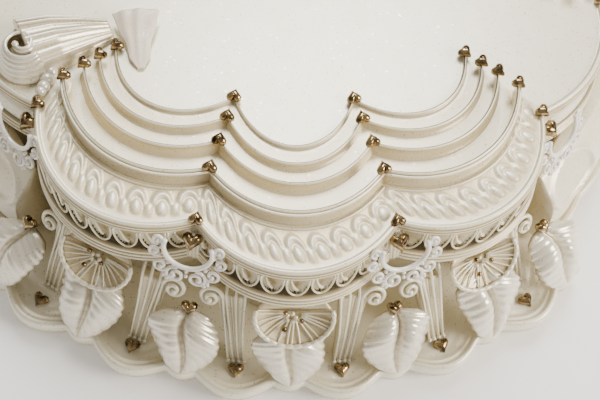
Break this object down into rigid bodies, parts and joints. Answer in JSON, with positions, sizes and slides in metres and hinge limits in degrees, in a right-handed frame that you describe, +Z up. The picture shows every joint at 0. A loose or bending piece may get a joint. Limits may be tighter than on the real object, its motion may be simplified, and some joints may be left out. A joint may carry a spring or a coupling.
{
  "type": "tiered wedding cake",
  "caption": "Royal-iced wedding cake tier with a scalloped collar, overpiped linework, lace frames, brackets and gilt sugar hearts, standing on its iced base board.",
  "frame": {"origin": "middle of the base board's flat underside", "axes": "+Z up; the middle of one piped panel faces -Y"},
  "size_m": [0.5078, 0.4917, 0.1174],
  "materials": {
    "royal_icing": "satin",
    "lace_icing": "satin",
    "wafer": "gloss",
    "gilt_sugar": "polished"
  },
  "bodies": {
    "root": {"base_board": "royal_icing", "bracket_1": "royal_icing", "bracket_10": "royal_icing", "bracket_11": "royal_icing", "bracket_12": "royal_icing", "bracket_13": "royal_icing", "bracket_14": "royal_icing", "bracket_15": "royal_icing", "bracket_16": "royal_icing", "bracket_17": "royal_icing", "bracket_18": "royal_icing", "bracket_2": "royal_icing", "bracket_3": "royal_icing", "bracket_4": "royal_icing", "bracket_5": "royal_icing", "bracket_6": "royal_icing", "bracket_7": "royal_icing", "bracket_8": "royal_icing", "bracket_9": "royal_icing", "cake_tier": "royal_icing", "cartouche_1": "royal_icing", "cartouche_2": "royal_icing", "cartouche_3": "royal_icing", "fan_leaf_1": "royal_icing", "fan_leaf_2": "royal_icing", "fan_leaf_3": "royal_icing", "fan_leaf_4": "royal_icing", "fan_leaf_5": "royal_icing", "fan_leaf_6": "royal_icing", "fan_leaf_7": "royal_icing", "fan_leaf_8": "royal_icing", "fan_leaf_9": "royal_icing", "heart_leaf_1": "royal_icing", "heart_leaf_10": "royal_icing", "heart_leaf_11": "royal_icing", "heart_leaf_12": "royal_icing", "heart_leaf_2": "royal_icing", "heart_leaf_3": "royal_icing", "heart_leaf_4": "royal_icing", "heart_leaf_5": "royal_icing", "heart_leaf_6": "royal_icing", "heart_leaf_7": "royal_icing", "heart_leaf_8": "royal_icing", "heart_leaf_9": "royal_icing", "lace_frame_1": "lace_icing", "lace_frame_10": "lace_icing", "lace_frame_11": "lace_icing", "lace_frame_12": "lace_icing", "lace_frame_2": "lace_icing", "lace_frame_3": "lace_icing", "lace_frame_4": "lace_icing", "lace_frame_5": "lace_icing", "lace_frame_6": "lace_icing", "lace_frame_7": "lace_icing", "lace_frame_8": "lace_icing", "lace_frame_9": "lace_icing", "top_scroll": "royal_icing", "wafer_petal": "wafer"}
  },
  "joints": []
}
